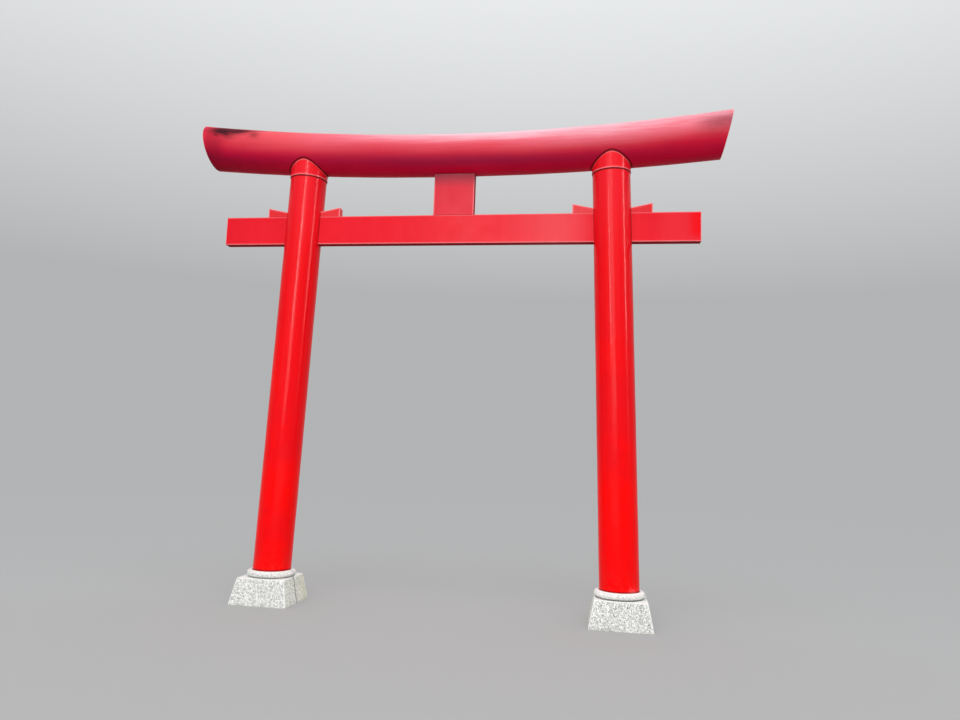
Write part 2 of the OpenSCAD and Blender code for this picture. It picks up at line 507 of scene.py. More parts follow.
def along_at_rail(side, turn, radius):
    """How far along the post's axis its skin meets the rail's underside."""
    along = np.full_like(turn, RAIL_Z - RAIL_MID_R)
    for _ in range(8):
        p = on_post(side, turn, radius, along)
        along = along_at_height(side, turn, radius, rail_underside(p[..., 0], p[..., 1]))
    return along


def face_turn(way, y):
    """Angle round a post at a depth, on the face that looks along way."""
    turn = np.arcsin(y / POST_R)
    return turn if way > 0 else math.pi - turn


def foot_half_width(share):
    """Half the width of a foot stone, at a share of its height."""
    return (FOOT_BASE_W + (FOOT_TOP_W - FOOT_BASE_W) * share) / 2


def ring_outside(rise):
    """Radius of a ring stone's round nose, at a height over the foot."""
    nose = RING_H / 2
    return RING_R - nose + np.sqrt(np.maximum(nose**2 - (rise - nose) ** 2, 0))


SLEEVE_LIP = float(rail_underside(post_x(RAIL_Z), 0.0)) - SLEEVE_SHOW


# Pieces of painted steel


def post_turns(radius, slot_steps, open_steps):
    """Angles round a post with borders at the slots for the tie beam, on +X and -X."""
    half = math.asin(BEAM_T / 2 / radius)
    slot = np.linspace(-half, half, slot_steps + 1)[:-1]
    open_way = np.linspace(half, math.pi - half, open_steps + 1)[:-1]
    return np.concatenate([slot, open_way, slot + math.pi, open_way + math.pi])


def make_post(side, paint, inside):
    """A pipe with slots for the tie beam, cut to the rail above. inside is its inner coat."""
    slot_steps = 8
    open_steps = 60
    cols = 2 * (slot_steps + open_steps)
    below = np.linspace(0, BEAM_Z, 101)
    beside = np.linspace(BEAM_Z, BEAM_TOP, 11)[1:]
    above = np.linspace(0, 1, 15)[1:]
    rows = len(below) + len(beside) + len(above)
    low = np.concatenate([below, beside])[:, None]
    skins = []
    lengths = []
    for radius, worn in ((POST_R, 1), (POST_R - POST_WALL, 0)):
        turn = post_turns(radius, slot_steps, open_steps)[None]
        z_along = along_at_height(side, turn, radius, low)
        start = z_along[-1:]
        top = along_at_rail(side, turn, radius)
        along = np.concatenate([z_along, start + above[:, None] * (top - start)])
        wave = np.sin(5.3 * along + 2 * turn + side) + np.sin(11.9 * along - 3 * turn)
        skin = on_post(side, turn + 0 * along, radius - worn * 0.00025 * (2 + wave), along)
        skins.append(skin.reshape(-1, 3))
        lengths.append(along.reshape(-1))
    points = np.concatenate(skins)
    points[:, 2] = np.maximum(points[:, 2], 0)
    quads = grid_quads(rows, cols, True)
    row, col = np.divmod(quads[:, 0], cols)
    in_slot = col % (cols // 2) < slot_steps
    cut = in_slot & (row >= len(below) - 1) & (row < len(below) + len(beside) - 1)
    outer = quads[~cut]
    inner = outer[:, ::-1] + rows * cols
    edges = np.stack([outer, np.roll(outer, -1, axis=1)], -1).reshape(-1, 2)
    edges = set(map(tuple, edges.tolist()))
    rims = [(a, b) for a, b in sorted(edges) if (b, a) not in edges]
    walls = [(b, a, a + rows * cols, b + rows * cols) for a, b in rims]
    faces = np.concatenate([outer, inner, np.array(walls)])
    used, where = np.unique(faces, return_inverse=True)
    bare = np.arange(len(outer), len(outer) + len(inner))
    dress(
        SIDE_NAMES[side] + "_pillar", points[used], where.reshape(faces.shape), paint, "red_paint",
        marks={"along": np.concatenate(lengths)[used]}, extra=(inside, bare),
    )


def make_sleeve(side, paint, shadowed):
    """A collar with an eased lip below and an eased edge against the rail above.

    shadowed is the paint of the lip's underside.
    """
    turn = full_turn(SLEEVE_SIDES)
    ease = SLEEVE_EASE
    lip = [(POST_R + 0.0002, 0), (SLEEVE_R - ease, 0), (SLEEVE_R - 0.3 * ease, 0.3 * ease)]
    lip += [(SLEEVE_R, ease), (SLEEVE_R, 3 * ease)]
    # Each row of the mesh is at a radius, at a share of the way up, shifted along the post
    rows = [(radius, 0, shift) for radius, shift in lip]
    rows += [(SLEEVE_R, share, 0) for share in np.linspace(0.12, 0.88, 9)]
    rows += [(radius, 1, -shift) for radius, shift in reversed(lip)]
    rings = []
    lengths = []
    for radius, share, shift in rows:
        top = along_at_rail(side, turn, radius) - 0.001
        lengths.append(SLEEVE_LIP + share * (top - SLEEVE_LIP) + shift)
        rings.append(on_post(side, turn, radius, lengths[-1]))
    points = np.concatenate(rings)
    along = np.concatenate(lengths)
    faces = grid_quads(len(rows) + 1, len(turn), True) % len(points)
    turns = np.arctan2(points[:, 1], points[:, 0] - side * post_x(RAIL_Z))
    gap = np.minimum(along - SLEEVE_LIP, along_at_rail(side, turns, SLEEVE_R) - along)
    outside = np.repeat([radius > SLEEVE_R - 0.6 * ease for radius, _, _ in rows], len(turn))
    dress(
        SIDE_NAMES[side] + "_sleeve", points, faces, paint, "red_paint",
        marks={"along": along, "edge": outside * (1 - np.clip(gap / EDGE_WEAR, 0, 1))},
        extra=(shadowed, np.arange(len(turn))),
    )


def turn_on_rail(points):
    """Degrees round the rail from its top, positive towards the front."""
    x, y, z = points.T
    return np.degrees(np.arctan2(-y, z - RAIL_Z - rail_rise(x)))


def soot_and_shade_on_rail(points):
    """Soot on top of the rail's left end with a smudge beside it, grime near both ends, and painted shade
    of trees at the left end and along the lower front flank.
    """
    turn = turn_on_rail(points)
    ragged = 4 * noise(points, 0.13, 3) + 4 * noise(points, 0.035, 4)
    behind = 1 - smooth(15, 50, turn)
    wander = 0.07 * noise(points, 0.16, 15) + 0.03 * noise(points, 0.05, 16)
    x = points[:, 0] + behind * wander
    middle = np.interp(
        x, [-2.72, -2.62, -2.50, -2.40, -2.30, -2.19, -2.08], [66, 75, 73, 66, 58, 57, 48]
    )
    depth = np.interp(
        x, [-2.78, -2.72, -2.66, -2.60, -2.30, -2.19, -2.05],
        [0.12, 0.42, 0.80, 0.96, 0.92, 0.45, 0.0],
    )
    top = depth * (1 - smooth(middle - 17, middle + 15, turn + ragged))
    top *= smooth(-75, -30, turn + 3 * ragged)
    top *= 1 - behind * (0.30 + 0.35 * noise(points, 0.09, 17, (0.4, 1, 1)))
    smudge = 0.55 * np.exp(-(((x + 2.19) / 0.06) ** 2) - ((turn + ragged - 60) / 13) ** 2)
    run = 0.32 * smooth(-2.76, -2.69, x) * (1 - smooth(-2.61, -2.45, x))
    run *= 1 - smooth(120, 160, np.abs(turn))
    start = np.interp(x, [-2.75, -2.60, -2.40], [108, 124, 134])
    flank = np.interp(x, [-2.8, -2.6, -2.3, -1.6, -0.8, 0.5], [0.52, 0.40, 0.28, 0.22, 0.12, 0])
    flank *= smooth(start - 14, start + 8, turn + ragged)
    right_end = 0.50 * smooth(2.32, 2.66, x) * np.exp(-(((turn + ragged - 76) / 24) ** 2))
    return np.clip(np.maximum.reduce([top, smudge, run, flank, right_end]), 0, 1)


def chalk_and_sheen_on_rail(points):
    """How far the upper side is chalked and painted pale with a sky sheen, less so at the left end, where
    trees would shade it.

    At mid span the chalk ends along a line, and towards both ends it thins out evenly.
    """
    x = points[:, 0]
    up = np.cos(np.radians(turn_on_rail(points)))
    streaks = noise(points, 0.03, 6, (0.08, 1, 1))
    broad = noise(points, 0.25, 7, (0.4, 1, 1))
    level = up + 0.035 * streaks + 0.04 * broad
    cover = np.interp(
        x, [-2.8, -2.58, -2.4, -1.9, -1.1, -0.3, 0.8, 1.9, 2.8],
        [0.08, 0.11, 0.29, 0.41, 0.73, 0.95, 1.05, 0.95, 0.86],
    )
    stepped = np.interp(
        level, [-0.9, -0.37, -0.21, -0.08, 0.05, 0.19, 0.34, 0.51, 0.75],
        [0.0, 0.06, 0.12, 0.21, 0.27, 0.40, 0.72, 0.87, 1.0],
    )
    even = np.interp(
        level, [-0.9, -0.5, -0.33, -0.21, -0.08, 0.05, 0.19, 0.34, 0.75],
        [0.0, 0.04, 0.14, 0.31, 0.48, 0.60, 0.73, 0.79, 0.93],
    )
    return cover * (stepped + (even - stepped) * np.interp(x, [-1.9, -0.8, 0.4, 1.2], [1, 0, 0, 1]))


def flank_shade_on_rail(points):
    """A deeper tone along the lower flanks, weaker on the back: painted shade."""
    x = points[:, 0]
    turn = turn_on_rail(points)
    middle = np.interp(x, [-2.4, -1.1, 0.4, 1.2, 1.9], [128, 124, 127, 134, 138])
    amount = np.interp(
        x, [-2.6, -2.2, -1.1, -0.5, 0.4, 1.2, 1.9, 2.3],
        [0.42, 0.37, 0.48, 0.69, 0.72, 0.54, 0.34, 0.12],
    )
    amount = amount * np.where(turn < 0, 0.35, 1.0)
    return amount * np.exp(-(((np.abs(turn) - middle) / 18) ** 2))


def rail_marks(points):
    """The marks of weather on the rail and its end plates, with its painted shade and sky sheen."""
    return {"soot_and_shade": soot_and_shade_on_rail(points), "chalk_and_sheen": chalk_and_sheen_on_rail(points), "deep": flank_shade_on_rail(points)}


def make_rail(paint):
    groove = RAIL_GROOVE / RAIL_HALF
    end = [(1, 1 - RAIL_GROOVE / RAIL_END_R), (1, 0.5), (1, 0.05)]
    rings = [(-u, share) for u, share in reversed(end)]
    rings += [(u, 1) for u in np.linspace(-1 + groove, 1 - groove, 321)]
    points, faces = rail_rings(rings + end)
    dress("kasagi", points, faces, paint, "rail_paint", marks=rail_marks(points))


def make_rail_cap(side, paint):
    """Plate on a raked end, with an eased rim and a fine groove behind it."""
    rim = RAIL_CAP_RIM
    out = 1 + RAIL_CAP / RAIL_HALF
    rings = [(1, 0.05), (1, 0.5), (1, 1 - RAIL_GROOVE / RAIL_END_R), (1 + RAIL_GROOVE / RAIL_HALF, 1)]
    rings += [(out - rim / RAIL_HALF, 1), (out - 0.3 * rim / RAIL_HALF, 1 - 0.3 * rim / RAIL_END_R)]
    rings += [(out, 1 - rim / RAIL_END_R), (out, 1 - EDGE_WEAR / RAIL_END_R)]
    rings += [(out, share) for share in (0.9, 0.8, 0.65, 0.5, 0.35, 0.2, 0.05)]
    points, faces = rail_rings([(side * u, share) for u, share in rings])
    from_rim = np.repeat([RAIL_END_R * (1 - share) * (u == out) for u, share in rings], RAIL_SIDES)
    skin_like = np.exp(-from_rim / 0.03)
    marks = {key: values * skin_like for key, values in rail_marks(points).items()}
    marks["chalk_and_sheen"] += 0.16 * (1 - skin_like) * (1 + 0.3 * noise(points, 0.09, 8))
    marks["edge"] = np.repeat([4 <= k <= 6 for k in range(len(rings))], RAIL_SIDES)
    dress(SIDE_NAMES[side] + "_kasagi_cap", points, faces, paint, "rail_paint", marks=marks)


def plate_planes(low, high):
    """Inward planes of an upright block, for its eased edges."""
    normals = np.eye(3)
    return [(low, n) for n in normals] + [(high, -n) for n in normals]


def sway_faces(moved, y, half, amount, wave):
    """Moves the points at half to the front or back inwards, by up to amount."""
    face = np.sign(y) * (np.abs(y) > half - 1e-6)
    moved[:, 1] -= face * amount * (0.5 + 0.5 * wave)


def make_block(node, low, high, paints, steps, square, ease=PLATE_EASE, sway=0.0, more_marks=None):
    """A plate box with eased edges. sway lets its front and back faces wander inwards a little.

    paints are those of its sides and of its underside. square names planes, by their number in
    plate_planes, whose edges are not eased. wear gives further marks of its points.
    """
    low = np.array(low, float)
    high = np.array(high, float)
    size = high - low

    def place(s, t, w):
        return low + size * np.stack([s, t, w], -1)

    planes = [p for k, p in enumerate(plate_planes(low, high)) if k not in square]
    points, moved, faces, edge = eased_box(place, size, steps, planes, ease)
    y, z = points[:, 1:].T
    if sway:
        calm = smooth(0, 0.06, np.minimum(z - low[2], high[2] - z))
        sway_faces(moved, y, size[1] / 2, calm * sway, noise(points, 0.45, 11, (1, 0, 1.6)))
    # The underside faces take the second, darker paint: painted shade on them
    below = np.flatnonzero(np.all(z[faces] < low[2] + 1e-6, axis=1))
    marks = {"edge": edge * np.where(z > high[2] - EDGE_WEAR, 0.6, 1.0)}
    if more_marks:
        marks.update(more_marks(points))
    dress(node, moved, faces, paints[0], "red_paint", marks=marks, extra=(paints[1], below))


def beam_sheen_and_end(points):
    """Stretches of the tie beam painted paler as a painted sheen, and a deeper red at its right end."""
    x, y, z = points.T
    pale = np.interp(
        x + 0.05 * noise(points, 0.3, 14),
        [0.30, 0.50, 0.75, 1.00, 1.18, 1.30, 1.42, 2.0, 2.1, 2.2, 2.42, 2.49],
        [0, 0.03, 0.12, 0.22, 0.23, 0.14, 0, 0, 0.03, 0.05, 0.05, 0],
    )
    fresh = 0.9 * smooth(2.34, 2.43, x) * smooth(BEAM_Z + 0.03, BEAM_Z + 0.10, z)
    return {"pale": pale * np.where(y < 0, 1.0, 0.4), "fresh": fresh}


def make_beam(paints):
    end = BEAM_HALF - BOX_WALL
    half = BEAM_T / 2
    make_block(
        "nuki", (-end, -half, BEAM_Z), (end, half, BEAM_TOP), paints, (0.03, 0.02, 0.02), (0, 3),
        sway=BEAM_SWAY, more_marks=beam_sheen_and_end,
    )
    for side, inner_plane in ((LEFT, 3), (RIGHT, 0)):
        near_x, far_x = sorted((side * end, side * BEAM_HALF))
        make_block(
            SIDE_NAMES[side] + "_nuki_cap", (near_x, -half, BEAM_Z), (far_x, half, BEAM_TOP),
            paints, (0.002, 0.02, 0.02), (inner_plane,), ease=BEAM_CAP_EASE,
        )


def make_strut(paints):
    """Box strut whose top follows the round of the rail. paints are those of its faces and sides."""
    half = np.array([STRUT_W / 2, STRUT_T / 2, 0])

    def place(s, t, w):
        x = STRUT_W * (s - 0.5)
        y = STRUT_T * (t - 0.5)
        top = rail_underside(x, y) - 0.001
        return np.stack([x, y, BEAM_TOP + (top - BEAM_TOP) * w], -1)

    planes = [p for k, p in enumerate(plate_planes(-half, half)) if k not in (2, 5)]
    lengths = (STRUT_W, STRUT_T, RAIL_Z - RAIL_MID_R - BEAM_TOP)
    points, moved, faces, edge = eased_box(place, lengths, (0.014,) * 3, planes, PLATE_EASE, (2,))
    x, y, z = points.T
    above = rail_underside(x, y) - z
    rim = np.clip(1 - above / 0.012, 0, 1)
    sway_faces(moved, y, STRUT_T / 2, (1 - edge) * STRUT_SWAY, noise(points, 0.3, 12, (1, 0, 1)))
    marks = {"edge": np.maximum(edge, 0.8 * rim), "shade": 1 - smooth(0.0, 0.17, above)}
    # The side faces take the second, darker paint: painted shade on them
    on_side = np.flatnonzero(np.all(np.abs(x[faces]) > STRUT_W / 2 - 1e-6, axis=1))
    dress("gakuzuka", moved, faces, paints[0], "rail_paint", marks=marks, extra=(paints[1], on_side))


def make_wedge(side, way, paint):
    """Wedge on the beam; way is the face of the post that it rises from."""
    centre = side * post_x(BEAM_TOP)
    slope = (WEDGE_END_H - WEDGE_ROOT_H) / (WEDGE_REACH - POST_R)

    def place(s, t, w):
        y = WEDGE_T * (t - 0.5)
        turn = face_turn(way, y)
        z = BEAM_TOP + WEDGE_END_H * w
        for _ in range(3):
            skin = on_post(side, turn, POST_R - 0.0005, along_at_height(side, turn, POST_R, z))
            root = way * (skin[..., 0] - centre)
            reach = root + (WEDGE_REACH - root) * s
            z = BEAM_TOP + (WEDGE_END_H + slope * (reach - WEDGE_REACH)) * w
        return np.stack([centre + way * reach, y, z], -1)

    end = centre + way * WEDGE_REACH
    lean = math.atan(slope)
    planes = [
        ((0, -WEDGE_T / 2, 0), (0, 1, 0)),
        ((0, WEDGE_T / 2, 0), (0, -1, 0)),
        ((end, 0, 0), (-way, 0, 0)),
        ((end, 0, BEAM_TOP + WEDGE_END_H), (way * math.sin(lean), 0, -math.cos(lean))),
    ]
    points, moved, faces, edge = eased_box(place, (0.2, WEDGE_T, 0.09), (0.012,) * 3, planes, WEDGE_EASE)
    name = SIDE_NAMES[side] + ("_inner_wedge" if side * way < 0 else "_outer_wedge")
    marks = {"edge": edge, "pale": np.full(len(points), WEDGE_SHEEN[name])}
    dress(name, moved, faces, paint, "red_paint", marks=marks)


def beam_bead(side, way):
    """Bead where the tie beam enters a post."""
    half = BEAM_T / 2
    middle = BEAM_Z + BEAM_H / 2
    corners = [(-half, BEAM_Z, 0), (half, BEAM_Z, 0), (half, BEAM_TOP, 0), (-half, BEAM_TOP, 0)]
    y, z, _ = even_path(corners, BEAD_STEP, True).T
    turn = face_turn(way, y)
    line = on_post(side, turn, POST_R, along_at_height(side, turn, POST_R, z))
    centre = (side * post_x(middle) + way * POST_R, 0, middle)
    return bead(line, centre, BEAM_BEAD, True, seed=5 + side + 2 * way)


def wedge_beads(side, way):
    """Beads along a wedge's two long feet on the beam, and up its root on the post."""
    patches = []
    for y in (-WEDGE_T / 2, WEDGE_T / 2):
        x_root = on_post(side, face_turn(way, y), POST_R, BEAM_TOP)[0]
        x_end = side * post_x(BEAM_TOP) + way * (WEDGE_REACH - 0.003)
        corners = [(x_root, y, BEAM_TOP + WEDGE_ROOT_H), (x_root, y, BEAM_TOP), (x_end, y, BEAM_TOP)]
        path = even_path(corners, BEAD_STEP, False)
        centre = (x_root + way * 0.1, 0, BEAM_TOP + 0.4)
        patches.append(bead(path, centre, WEDGE_BEAD, False, seed=9 + side))
    return patches


def make_welds(side, paint):
    turn = full_turn(SLEEVE_BEAD_PLACES)
    line = on_post(side, turn, SLEEVE_R, along_at_rail(side, turn, SLEEVE_R))
    crown = (side * post_x(RAIL_Z), 0, RAIL_Z)
    patches = [bead(line, crown, SLEEVE_BEAD, True, seed=3)]
    for way in (-1, 1):
        patches.append(beam_bead(side, way))
        patches.extend(wedge_beads(side, way))
    add_piece(SIDE_NAMES[side] + "_welds", *join_patches(patches), paint, "red_paint", sharp=60)


def make_strut_welds(paint):
    x, y = STRUT_W / 2, STRUT_T / 2
    path = even_path([(-x, -y, 0), (x, -y, 0), (x, y, 0), (-x, y, 0)], STRUT_BEAD_STEP, True)
    foot = path + np.array([0, 0, BEAM_TOP])
    head = path.copy()
    head[:, 2] = rail_underside(path[:, 0], path[:, 1])
    patches = [
        bead(foot, (0, 0, BEAM_TOP), STRUT_FOOT_BEAD, True, seed=21),
        bead(head, (0, 0, RAIL_Z - RAIL_MID_R), STRUT_HEAD_BEAD, True, seed=22),
    ]
    add_piece("strut_welds", *join_patches(patches), paint, "rail_paint", sharp=60)


# Pieces of stone


def rough_stone(points, planes, seed, seat):
    """Uneven arrises with small chips, and faces that wander a little, never outwards.

    seat is how far each point belongs to a flat seat, which stays flat. Returns the moved points,
    and how near each is to an edge.
    """
    chips = smooth(0.35, 0.75, noise(points, 0.028, seed))
    uneven = 0.5 + 0.5 * noise(points, 0.011, seed + 1)
    moved, edge = ease_edges(points, planes, STONE_EASE * (0.7 + 0.6 * uneven + 1.5 * chips))
    on_face = np.clip(1 - plane_depths(points, planes) / 0.001, 0, 1)
    texture = 0.5 + 0.5 * noise(points, 0.016, seed + 2)
    broad = 0.5 + 0.5 * noise(points, 0.11, seed + 3)
    push = (0.0007 * texture + 0.0010 * broad) * (1 - seat)
    return moved + on_face @ np.array([n for _, n in planes]) * push[:, None], edge


def make_foot_half(side, face, granite):
    """Half of a foot stone, round its bore."""
    half_low = foot_half_width(0)
    gap = STONE_JOINT / 2
    middle = side * POST_SPACING / 2
    start = math.asin(gap / POST_R)

    def place(s, t, w):
        """s goes round from joint to joint, a quarter of it along each side, and t outwards."""
        z = FOOT_H * w
        half = foot_half_width(w)
        x_out = np.clip(half * (4 * s - 2), -half, half)
        d_out = gap + (half - gap) * np.clip(2 - np.abs(4 * s - 2), 0, 1)
        turn = start + (math.pi - 2 * start) * s
        x_in = -POST_R * np.cos(turn) - side * z * math.tan(BATTER)
        d_in = POST_R * np.sin(turn)
        return np.stack([middle + x_in + (x_out - x_in) * t, face * (d_in + (d_out - d_in) * t), z], -1)

    run = stations(half_low, FOOT_STEP, STONE_NEAR)
    front = stations(FOOT_BASE_W, FOOT_STEP, STONE_NEAR)
    s = np.concatenate([0.25 * run[:-1], 0.25 + 0.5 * front[:-1], 0.75 + 0.25 * run])
    t = stations(half_low - POST_R, 0.010, (0.0, 0.002, 0.005))
    w = stations(FOOT_H, FOOT_STEP, STONE_NEAR)
    points, faces = join_patches(box_patches(place, s, t, w))
    lean = math.atan((half_low - foot_half_width(1)) / FOOT_H)
    flat, up = math.cos(lean), math.sin(lean)
    planes = [
        ((0, 0, 0), (0, 0, 1)),
        ((0, 0, FOOT_H), (0, 0, -1)),
        ((0, face * gap, 0), (0, face, 0)),
        ((0, face * half_low, 0), (0, -face * flat, -up)),
        ((middle - half_low, 0, 0), (flat, 0, -up)),
        ((middle + half_low, 0, 0), (-flat, 0, -up)),
    ]
    y, z = points[:, 1:].T
    moved, edge = rough_stone(points, planes, 31 + 5 * side + face, 1 - smooth(0.0, 0.004, z))
    moved[:, 2] = np.where(z < 1e-6, 0, np.maximum(moved[:, 2], 0))
    joint = 1 - np.clip((np.abs(y) - gap) / 0.012, 0, 1)
    marks = {"edge": edge * (z > 0.004) * (joint == 0), "joint": joint}
    name = f"{SIDE_NAMES[side]}_{FACE_NAMES[face]}_foot_stone"
    dress(name, moved, faces, granite, "granite", sharp=55, marks=marks)


def make_ring_half(side, face, granite):
    """Half of a ring stone, with a round nose and chips beside the joint."""
    gap = STONE_JOINT / 2
    nose = RING_H / 2
    nose_r = RING_R - nose
    centre = side * post_x(FOOT_H)

    def place(s, t, w):
        rise = nose * (1 - np.cos(math.pi * w))
        z = FOOT_H + rise
        radius = POST_R + (ring_outside(rise) - POST_R) * t
        start = np.arcsin(gap / radius)
        turn = start + (math.pi - 2 * start) * s
        middle = centre * t + side * post_x(z) * (1 - t)
        return np.stack([middle - radius * np.cos(turn), face * radius * np.sin(turn), z], -1)

    s = stations(math.pi * RING_R, 0.007, (0.0, 0.0015, 0.003, 0.006))
    points, faces = join_patches(box_patches(place, s, np.linspace(0, 1, 6), np.linspace(0, 1, 25)))
    from_joint = np.abs(points[:, 1]) - gap
    out = points - np.array([centre, 0, FOOT_H + nose])
    flat = np.hypot(out[:, 0], out[:, 1])
    spoke = np.stack([out[:, 0] / flat, out[:, 1] / flat, 0 * flat], -1)
    normal = out - spoke * nose_r
    normal /= np.maximum(np.linalg.norm(normal, axis=1), 1e-6)[:, None]
    seed = 51 + 5 * side + face
    push = 0.0006 + 0.0006 * noise(points, 0.014, seed)
    push += 0.0009 + 0.0009 * noise(points, 0.07, seed + 1)
    chips = smooth(0.3, 0.8, noise(points, 0.02, seed + 2))
    push += (0.003 + 0.004 * chips) * (1 - smooth(0, 0.007, from_joint)) ** 2
    push *= smooth(nose_r - 0.004, nose_r + 0.006, flat)
    marks = {"joint": 1 - np.clip(from_joint / 0.006, 0, 1), "ring": np.ones(len(points))}
    name = f"{SIDE_NAMES[side]}_{FACE_NAMES[face]}_ring_stone"
    dress(name, points - normal * push[:, None], faces, granite, "granite", sharp=55, marks=marks)


def make_pointing(side, mortar):
    """Mortar set back in the joint between the halves of a foot and its ring."""
    middle = side * POST_SPACING / 2
    set_back = 0.004
    thick = STONE_JOINT * 0.98
    patches = []
    for way in (-1, 1):

        def in_foot(s, t, w, way=way):
            z = 0.003 + (FOOT_H - 0.004) * w
            bore = POST_R + 0.0005 - way * side * z * math.tan(BATTER)
            x = bore + (foot_half_width(z / FOOT_H) - set_back - bore) * s
            return np.stack([middle + way * x, thick * (t - 0.5), z], -1)

        def in_ring(s, t, w, way=way):
            rise = RING_H * (0.04 + 0.90 * w)
            bore = POST_R - way * side * rise * math.tan(BATTER)
            x = bore + (ring_outside(rise) - set_back - bore) * s
            return np.stack([side * post_x(FOOT_H) + way * x, thick * (t - 0.5), FOOT_H + rise], -1)

        for place, counts in ((in_foot, (12, 3, 40)), (in_ring, (8, 3, 14))):
            patches.extend(box_patches(place, *(np.linspace(0, 1, count) for count in counts)))
    points, faces = join_patches(patches)
    uneven = noise(points, 0.012, 71)
    out = np.sign(points[:, 0] - middle)
    points[:, 0] -= out * 0.0008 * (1 + uneven) * (points[:, 2] > 0.004)
    add_piece(SIDE_NAMES[side] + "_foot_pointing", points, faces, mortar, "granite", sharp=50)


def make_seal(side, sealant):
    """Sealant round the foot of a post, on its ring stone."""
    turn = full_turn(SEAL_BEAD_PLACES)
    z = RING_TOP - 0.0015
    line = on_post(side, turn, POST_R + 0.0012, along_at_height(side, turn, POST_R, z))
    patch = bead(line, (side * post_x(z), 0, z), SEAL_BEAD, True, seed=81)
    add_piece(SIDE_NAMES[side] + "_post_seal", *join_patches([patch]), sealant, "granite", sharp=60)


# Materials


class Graph:
    """The nodes of a material or world, with short calls for the kinds used here."""

    def __init__(self, owner, coordinates="Object"):
        owner.use_nodes = True
        self.owner = owner
        self.tree = owner.node_tree
        self.where = self.add("ShaderNodeTexCoord").outputs[coordinates]

    def fill(self, node, inputs):
        """Gives a node's inputs, by name or number, a value or the socket of another node."""
        for key, value in inputs.items():
            socket = node.inputs[key]
            if isinstance(value, bpy.types.NodeSocket):
                self.tree.links.new(value, socket)
            elif socket.type == "RGBA":
                socket.default_value = (*value, 1)
            else:
                socket.default_value = value

    def add(self, kind, inputs=None, **settings):
        node = self.tree.nodes.new(kind)
        for key, value in settings.items():
            setattr(node, key, value)
        self.fill(node, inputs or {})
        return node

    def noise(self, scale, detail, rough=0.55, stretch=(1, 1, 1)):
        scales = tuple(scale * k for k in stretch)
        mapping = self.add("ShaderNodeMapping", {"Vector": self.where, "Scale": scales})
        inputs = {"Vector": mapping.outputs[0], "Scale": 1.0, "Detail": detail, "Roughness": rough}
        return self.add("ShaderNodeTexNoise", inputs).outputs["Fac"]

    def bent(self, scale, reach):
        """Object coordinates pushed about by a noise of that scale, by up to half of reach."""
        noise = self.add("ShaderNodeTexNoise", {"Vector": self.where, "Scale": scale})
        inputs = {0: noise.outputs["Color"], 1: (reach,) * 3, 2: self.where}
        return self.add("ShaderNodeVectorMath", inputs, operation="MULTIPLY_ADD").outputs[0]

    def cells(self, scale, where=None):
        inputs = {"Vector": where or self.where, "Scale": scale}
        return self.add("ShaderNodeTexVoronoi", inputs, feature="F1").outputs

    def mark(self, name):
        return self.add("ShaderNodeAttribute", attribute_name=name).outputs["Fac"]

    def axes(self, vector):
        """The x, y and z of a vector."""
        return self.add("ShaderNodeSeparateXYZ", {0: vector}).outputs

    def facing(self):
        """The x, y and z of the surface's normal."""
        return self.axes(self.add("ShaderNodeNewGeometry").outputs["Normal"])

    def distance(self, point):
        inputs = {0: self.where, 1: point}
        return self.add("ShaderNodeVectorMath", inputs, operation="DISTANCE").outputs["Value"]

    def math(self, operation, a, b=0.0, clamp=False):
        node = self.add("ShaderNodeMath", {0: a, 1: b}, operation=operation, use_clamp=clamp)
        return node.outputs[0]

    def times(self, a, b):
        return self.math("MULTIPLY", a, b)

    def plus(self, first, *terms):
        for term in terms:
            first = self.math("ADD", first, term)
        return first

    def less(self, a, b):
        return self.math("SUBTRACT", a, b)

    def span(self, value, low, high, to_low=0.0, to_high=1.0, kind="SMOOTHSTEP"):
        """value from low to high, made to_low to to_high, and held beyond them."""
        inputs = {"Value": value, "From Min": low, "From Max": high, "To Min": to_low, "To Max": to_high}
        return self.add("ShaderNodeMapRange", inputs, interpolation_type=kind).outputs["Result"]

    def mix(self, share, a, b, blend="MIX"):
        inputs = {0: share, 6: a, 7: b}
        return self.add("ShaderNodeMix", inputs, data_type="RGBA", blend_type=blend).outputs[2]

    def coats(self, color, *layers):
        """A colour below layers, each given as (share of it that the layer covers, its colour)."""
        for share, tone in layers:
            color = self.mix(share, color, tone)
        return color

    def bumps(self, *layers):
        """The normal of a surface bumped by layers, each given as (height, reach in metres)."""
        inputs = {}
        for height, reach in layers:
            inputs.update({"Height": height, "Distance": reach})
            inputs["Normal"] = self.add("ShaderNodeBump", inputs).outputs["Normal"]
        return inputs["Normal"]

    def surface(self, color, roughness, shine, **more):
        """Feeds the shader and gives back the material."""
        inputs = {"Base Color": color, "Roughness": roughness, "Specular IOR Level": shine, **more}
        self.fill(self.tree.nodes["Principled BSDF"], inputs)
        return self.owner


def outside_sleeve(g):
    """How far a point of the rail's skin lies from the sleeve of the nearer post."""
    x, y, z = g.axes(g.where)
    _, normal_y, normal_z = g.facing()
    off = g.less(g.plus(g.math("ABSOLUTE", x), g.times(z, math.tan(BATTER))), POST_SPACING / 2)
    flat = g.math("SQRT", g.plus(g.times(off, off), g.times(y, y)))
    slope = g.times(g.math("DIVIDE", normal_y, normal_z), g.math("DIVIDE", y, flat))
    stretch = g.math("SQRT", g.plus(g.times(slope, slope), 1.0))
    return g.times(g.less(flat, SLEEVE_R), stretch)


